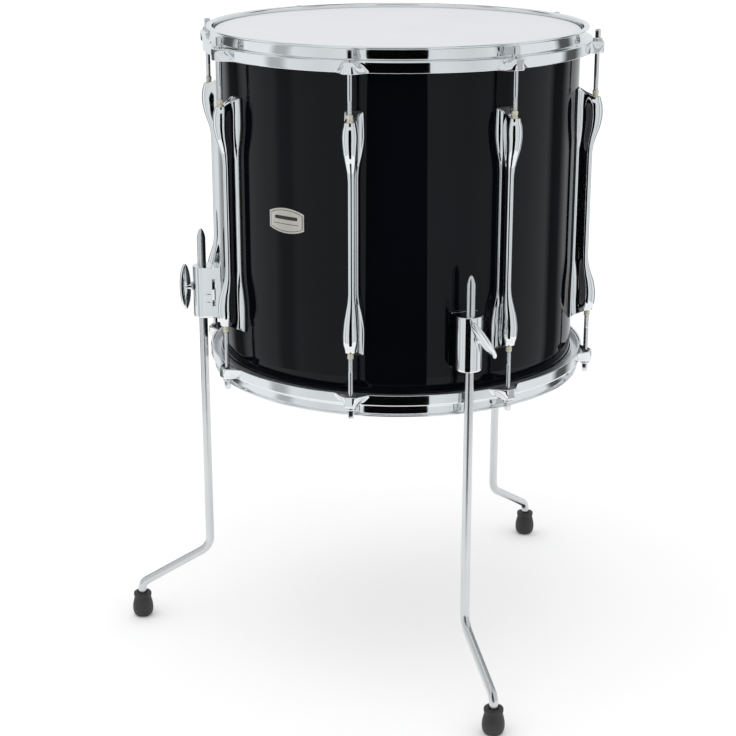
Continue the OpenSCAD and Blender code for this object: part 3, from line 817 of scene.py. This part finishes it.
def make_foot(key):
    p = middle_of(f"foot_{key}")
    rings = [[(p.x + r * MM * math.cos(t), p.y + r * MM * math.sin(t), z * MM) for t in turn_steps(64)]
             for r, z in FOOT_SECTION]
    foot = grid_mesh(f"rubber_foot_{key}", rings, False, (True, True), 45)
    put(foot, f"leg_{key}", RUBBER_FOOT, "foot_rubber", f"foot_{key}")


# ---------------------------------------------------------------- badge and vent

BADGE_BOW_R = 60  # radius of the badge's long edges
# Name, width, height, corner notch, inner and outer face above the shell, lift of its middle, paint. In mm.
BADGE_LAYERS = [
    ("plate", 46, 27, 4.5, 0.0, 0.9, 0.0, NICKEL),
    ("line", 42.6, 23.6, 4.2, 0.85, 1.0, 0.0, ENAMEL),
    ("field", 41.2, 22.2, 4.0, 0.95, 1.2, 0.0, NICKEL),
    ("band", 30, 4.2, 0.6, 1.15, 1.34, 3.2, ENAMEL),
    ("rule", 34, 0.9, 0.2, 1.15, 1.34, -3.4, ENAMEL),
]
# The vent ring's section: radius about the bore, and place out from the shell
VENT_SECTION = [
    (6.0, -8.9), (7.3, -8.9), (8.8, -8.6), (8.9, -7.9), (6.9, -7.4), (6.9, -0.2), (9.9, -0.25), (9.95, 0.3),
    (9.3, 0.95), (8.0, 1.38), (7.0, 1.4), (6.2, 1.0), (6.0, 0.3),
]

def badge_half_height(x, w, h, notch):
    """Half height of the barrel-shaped badge at x across, with hollowed corners. All in mm."""
    sag = BADGE_BOW_R - math.sqrt(BADGE_BOW_R * BADGE_BOW_R - x * x)
    bow = h / 2 - sag * min(1.0, h / 20) ** 2
    from_corner = w / 2 - abs(x)
    if from_corner < notch:
        bite = math.sqrt(notch * notch - from_corner * from_corner)
        bow = min(bow, h / 2 - bite)
    return bow


def badge_layer(name, w, h, notch, low, high, lift, paint):
    """One plate of the badge, bent round the shell, with its front edge softened."""
    angle = angle_of("badge")
    middle = middle_of("badge").z / MM + lift
    steps = 60
    xs = [-w / 2 + w * k / steps for k in range(steps + 1)]
    rings = []
    for out, inset in ((low, 0.0), (high - 0.25, 0.0), (high, 0.3)):
        ww, hh = w - 2 * inset, h - 2 * inset
        loop = [(x * ww / w, badge_half_height(x * ww / w, ww, hh, notch)) for x in xs]
        loop += [(x, -y) for x, y in reversed(loop)]
        rings.append([around(angle + x / (SHELL_R / MM), 0, SHELL_R + out * MM, (middle + y) * MM)
                      for x, y in loop])
    layer = grid_mesh(name, rings, False, (False, False), 30)
    fill_badge(layer, rings, len(xs))
    layer.data.materials.append(paint)
    return layer


def fill_badge(piece, rings, half):
    """Front and back faces as strips, so that they stay round with the shell."""
    bm = bmesh.new()
    bm.from_mesh(piece.data)
    for ring in (rings[0], rings[-1]):
        verts = [bm.verts.new(p) for p in ring]
        for k in range(half - 1):
            bm.faces.new((verts[k], verts[k + 1], verts[2 * half - 2 - k], verts[2 * half - 1 - k]))
    bmesh.ops.remove_doubles(bm, verts=bm.verts, dist=1e-6)
    bmesh.ops.recalc_face_normals(bm, faces=bm.faces)
    bm.to_mesh(piece.data)
    bm.free()
    piece.data.shade_smooth()
    piece.data.set_sharp_from_angle(angle=math.radians(30))


def make_badge():
    badge = join("shell_badge", [badge_layer(*layer) for layer in BADGE_LAYERS])
    put(badge, "drum_body", NICKEL, "badge_nickel", "badge")


def make_vent():
    angle = angle_of("vent_grommet")
    rings = [[around(angle, r * MM * math.cos(t), (SHELL_R / MM + out) * MM, SHELL_MID + r * MM * math.sin(t))
              for r, out in VENT_SECTION] for t in turn_steps(48)]
    put(grid_mesh("vent_ring", rings, True), "drum_body", CHROME_ROD, "rod_chrome", "vent_grommet")


# ---------------------------------------------------------------- stage, light and camera

# Brightness of the soft boxes around the set, by angle from -Y in degrees
ROOM = [
    (-180, 0.85), (-150, 0.85), (-128, 0.9), (-120, 0.1), (-110, 0.1), (-102, 0.95), (-76, 0.95), (-71, 0.5),
    (-64, 0.5), (-59, 0.86), (-40, 0.78), (-24, 0.86), (0, 0.8), (24, 0.84), (40, 0.74), (54, 0.84),
    (58, 0.5), (66, 0.5), (72, 0.9), (100, 0.9), (106, 0.1), (116, 0.1), (126, 0.85), (180, 0.85),
]
ROOF = [(0.0, (0.12,) * 3), (0.3, (0.16,) * 3), (0.36, (0.95,) * 3), (1.0, (1.0,) * 3)]
ROOM_HIGH = 2.4
ROOM_R = 1.25

def make_stage():
    mesh = bpy.data.meshes.new("floor")
    half = 6.0
    corners = [(-half, -half, 0), (half, -half, 0), (half, half, 0), (-half, half, 0)]
    mesh.from_pydata(corners, [], [(0, 1, 2, 3)])
    floor = add_object("studio_floor", mesh)
    p = Paint("pale_floor", IOR=1.45)
    p.shader.inputs["Specular IOR Level"].default_value = 0.0
    cloud = p.noise(2, 3)
    p.feed("Base Color", p.ramp(cloud, [(0.3, (0.95, 0.95, 0.95)), (0.7, (0.96, 0.96, 0.96))]))
    p.feed("Roughness", p.spread(cloud, 0.7, 0.8))
    mesh.materials.append(p.material)


def make_world():
    world = bpy.data.worlds.new("studio")
    bpy.context.scene.world = world
    world.use_nodes = True
    back = world.node_tree.nodes["Background"]
    back.inputs["Color"].default_value = (1.0, 1.0, 1.0, 1.0)
    back.inputs["Strength"].default_value = 1.1


def area_light(name, at, aim, size, power):
    data = bpy.data.lights.new(name, "AREA")
    data.shape = "RECTANGLE"
    data.size, data.size_y = size
    data.energy = power
    lamp = add_object(name, data)
    lamp.location = at
    lamp.rotation_euler = (Vector(aim) - Vector(at)).to_track_quat("-Z", "Y").to_euler()
    lamp.visible_glossy = False


def glowing_card(name, verts, faces, colour_from):
    """A flat or curved card that glows, and that only reflections see."""
    mesh = bpy.data.meshes.new(name)
    mesh.from_pydata(verts, [], faces)
    card = add_object(name, mesh)
    p = Paint(name)
    glow = p.nodes.new("ShaderNodeEmission")
    p.links.new(colour_from(p), glow.inputs["Color"])
    p.links.new(glow.outputs["Emission"], p.nodes["Material Output"].inputs["Surface"])
    mesh.materials.append(p.material)
    for ray in ("camera", "diffuse", "shadow", "transmission", "volume_scatter"):
        setattr(card, f"visible_{ray}", False)
    return card


def room_surface(name, profile, colour_from):
    """A lathed soft-box wall or roof."""
    steps, count = 96, len(profile)
    verts = [(r * math.cos(t), r * math.sin(t), z) for t in turn_steps(steps) for r, z in profile]
    faces = []
    for i in range(steps):
        here, there = i * count, (i + 1) % steps * count
        faces += [(here + j, here + j + 1, there + j + 1, there + j) for j in range(count - 1)]
    glowing_card(name, verts, faces, colour_from)


def wall_colour(p):
    """Colour by the angle around the set."""
    split = p.nodes.new("ShaderNodeSeparateXYZ")
    p.links.new(p.where, split.inputs["Vector"])
    flip = p.nodes.new("ShaderNodeMath")
    flip.operation = "MULTIPLY"
    flip.inputs[1].default_value = -1.0
    p.links.new(split.outputs["Y"], flip.inputs[0])
    turn = p.nodes.new("ShaderNodeMath")
    turn.operation = "ARCTAN2"
    p.links.new(split.outputs["X"], turn.inputs[0])
    p.links.new(flip.outputs[0], turn.inputs[1])
    share = p.nodes.new("ShaderNodeMapRange")
    share.inputs["From Min"].default_value = -math.pi
    share.inputs["From Max"].default_value = math.pi
    p.links.new(turn.outputs[0], share.inputs["Value"])
    return p.ramp(share.outputs["Result"], [((a + 180) / 360, (v * 0.97, v, v * 1.02)) for a, v in ROOM])


def roof_colour(p):
    """Bright in a disc above the drum, dark beyond it."""
    gradient = p.nodes.new("ShaderNodeTexGradient")
    gradient.gradient_type = "SPHERICAL"
    scale = p.nodes.new("ShaderNodeMapping")
    scale.inputs["Location"].default_value = (0.15, 0.2, -1.0)
    scale.inputs["Scale"].default_value = (0.8, 0.8, 1 / ROOM_HIGH)
    p.links.new(p.where, scale.inputs["Vector"])
    p.links.new(scale.outputs["Vector"], gradient.inputs["Vector"])
    return p.ramp(gradient.outputs["Fac"], ROOF)


def dark_colour(p):
    shade = 0.0006
    return p.ramp(p.noise(2), [(0.3, (shade,) * 3), (0.7, (shade * 1.5,) * 3)])


def make_dark_card():
    """A dark flat for the gap that the camera looks through."""
    w, h = 0.235, 0.42
    verts = [(-w, 0, -h), (w, 0, -h), (w * 0.85, 0, h), (-w * 0.85, 0, h)]
    card = glowing_card("camera_gap", verts, [(0, 1, 2, 3)], dark_colour)
    card.location = (0.0, -0.74, 0.42)


def make_camera():
    data = bpy.data.cameras.new("camera")
    data.sensor_width = 36
    data.lens = 84.45
    camera = add_object("camera", data)
    camera.location = (0.0, -1.9471, SHELL_MID + 0.4189)
    camera.rotation_euler = (math.radians(90 - 17.86), 0.0, math.radians(0.97))
    bpy.context.scene.camera = camera


def make_drum():
    paint_cad_nodes()
    make_shell()
    make_head("batter", COATED, "coated_film")
    make_head("resonant", CLEAR, "clear_film")
    for side in ("batter", "resonant"):
        make_hoop(side)
    make_rods()
    make_rod_washers()
    for i in range(1, 9):
        make_lug(i)
    make_inserts()
    for key in LEG_NAMES:
        make_bracket(key)
        make_wing_nut(key)
        make_leg(key)
        make_foot(key)
    make_badge()
    make_vent()


make_camera()
make_drum()
make_stage()
make_world()
area_light("roof_light", (-0.6, -0.8, 2.6), (0, 0, 0.4), (2.5, 2.5), 8)
room_surface("room_wall", [(1.02, 0.0), (1.15, 0.3), (ROOM_R, ROOM_HIGH)], wall_colour)
make_dark_card()
room_surface("room_roof", [(0.001, ROOM_HIGH), (ROOM_R, ROOM_HIGH)], roof_colour)
bpy.context.scene.view_settings.view_transform = "Standard"
